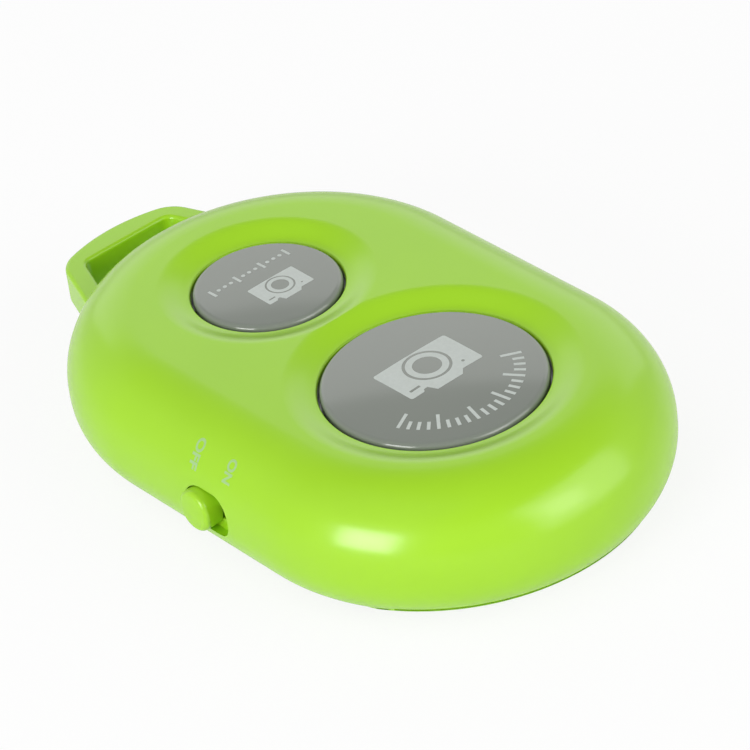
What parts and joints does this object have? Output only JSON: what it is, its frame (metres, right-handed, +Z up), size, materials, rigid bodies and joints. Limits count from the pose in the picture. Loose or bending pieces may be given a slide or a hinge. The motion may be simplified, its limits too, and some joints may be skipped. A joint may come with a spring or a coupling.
{
  "type": "bluetooth camera shutter remote",
  "caption": "Pocket remote that triggers a phone's camera: pill-shaped plastic case with push buttons, a side slide switch, a lanyard loop and a sliding battery door.",
  "frame": {"origin": "middle of the underside of the case, without the loop, on the surface that it rests on", "axes": "+Z up through the button faces, +X towards the large button and the battery door, -X towards the lanyard loop, -Y the side with the slide switch"},
  "size_m": [0.0521, 0.0327, 0.01],
  "materials": {
    "case_green": "glossy moulded plastic",
    "knob_green": "glossy moulded plastic",
    "button_grey": "satin moulded plastic",
    "screw_steel": "zinc plated",
    "board_green": "solder mask",
    "cell_steel": "nickel plated",
    "contact_plate": "plated spring sheet",
    "moulded_dark": "moulded",
    "moulded_black": "moulded",
    "switch_cover": "tinned sheet",
    "dome_steel": "sprung sheet",
    "chip_black": "moulded",
    "led_white": "clear lens on white",
    "capacitor_tan": "ceramic",
    "trace_gold": "plated copper"
  },
  "bodies": {
    "case": {"top_case": "case_green", "base_case": "case_green", "case_screws": "screw_steel", "circuit_board": "board_green", "coin_cell": "cell_steel", "positive_contact": "contact_plate", "negative_contact": "contact_plate", "tact_base_large": "moulded_dark", "tact_cover_large": "switch_cover", "tact_dome_large": "dome_steel", "tact_base_small": "moulded_dark", "tact_cover_small": "switch_cover", "tact_dome_small": "dome_steel", "slide_switch_base": "moulded_dark", "slide_switch_cover": "switch_cover", "radio_chip": "chip_black", "memory_chip": "chip_black", "crystal_can": "switch_cover", "status_led": "led_white", "capacitors": "capacitor_tan", "resistors": "chip_black", "antenna_trace": "trace_gold"},
    "large_button_press": {"large_button": "button_grey", "tact_plunger_large": "moulded_black"},
    "small_button_press": {"small_button": "button_grey", "tact_plunger_small": "moulded_black"},
    "power_switch": {"switch_knob": "knob_green", "slide_switch_slider": "moulded_black"},
    "door": {"battery_door": "case_green"}
  },
  "joints": [
    {"name": "large_button_slide", "type": "slide", "parent": "case", "child": "large_button_press", "axis": [0, 0, -1], "range_m": [0, 0.0003], "stiffness_N_per_m": 1500},
    {"name": "small_button_slide", "type": "slide", "parent": "case", "child": "small_button_press", "axis": [0, 0, -1], "range_m": [0, 0.0003], "stiffness_N_per_m": 1500},
    {"name": "power_switch_slide", "type": "slide", "parent": "case", "child": "power_switch", "axis": [1, 0, 0], "range_m": [0, 0.0014]},
    {"name": "door_slide", "type": "slide", "parent": "case", "child": "door", "axis": [1, 0, 0], "range_m": [0, 0.028]}
  ]
}
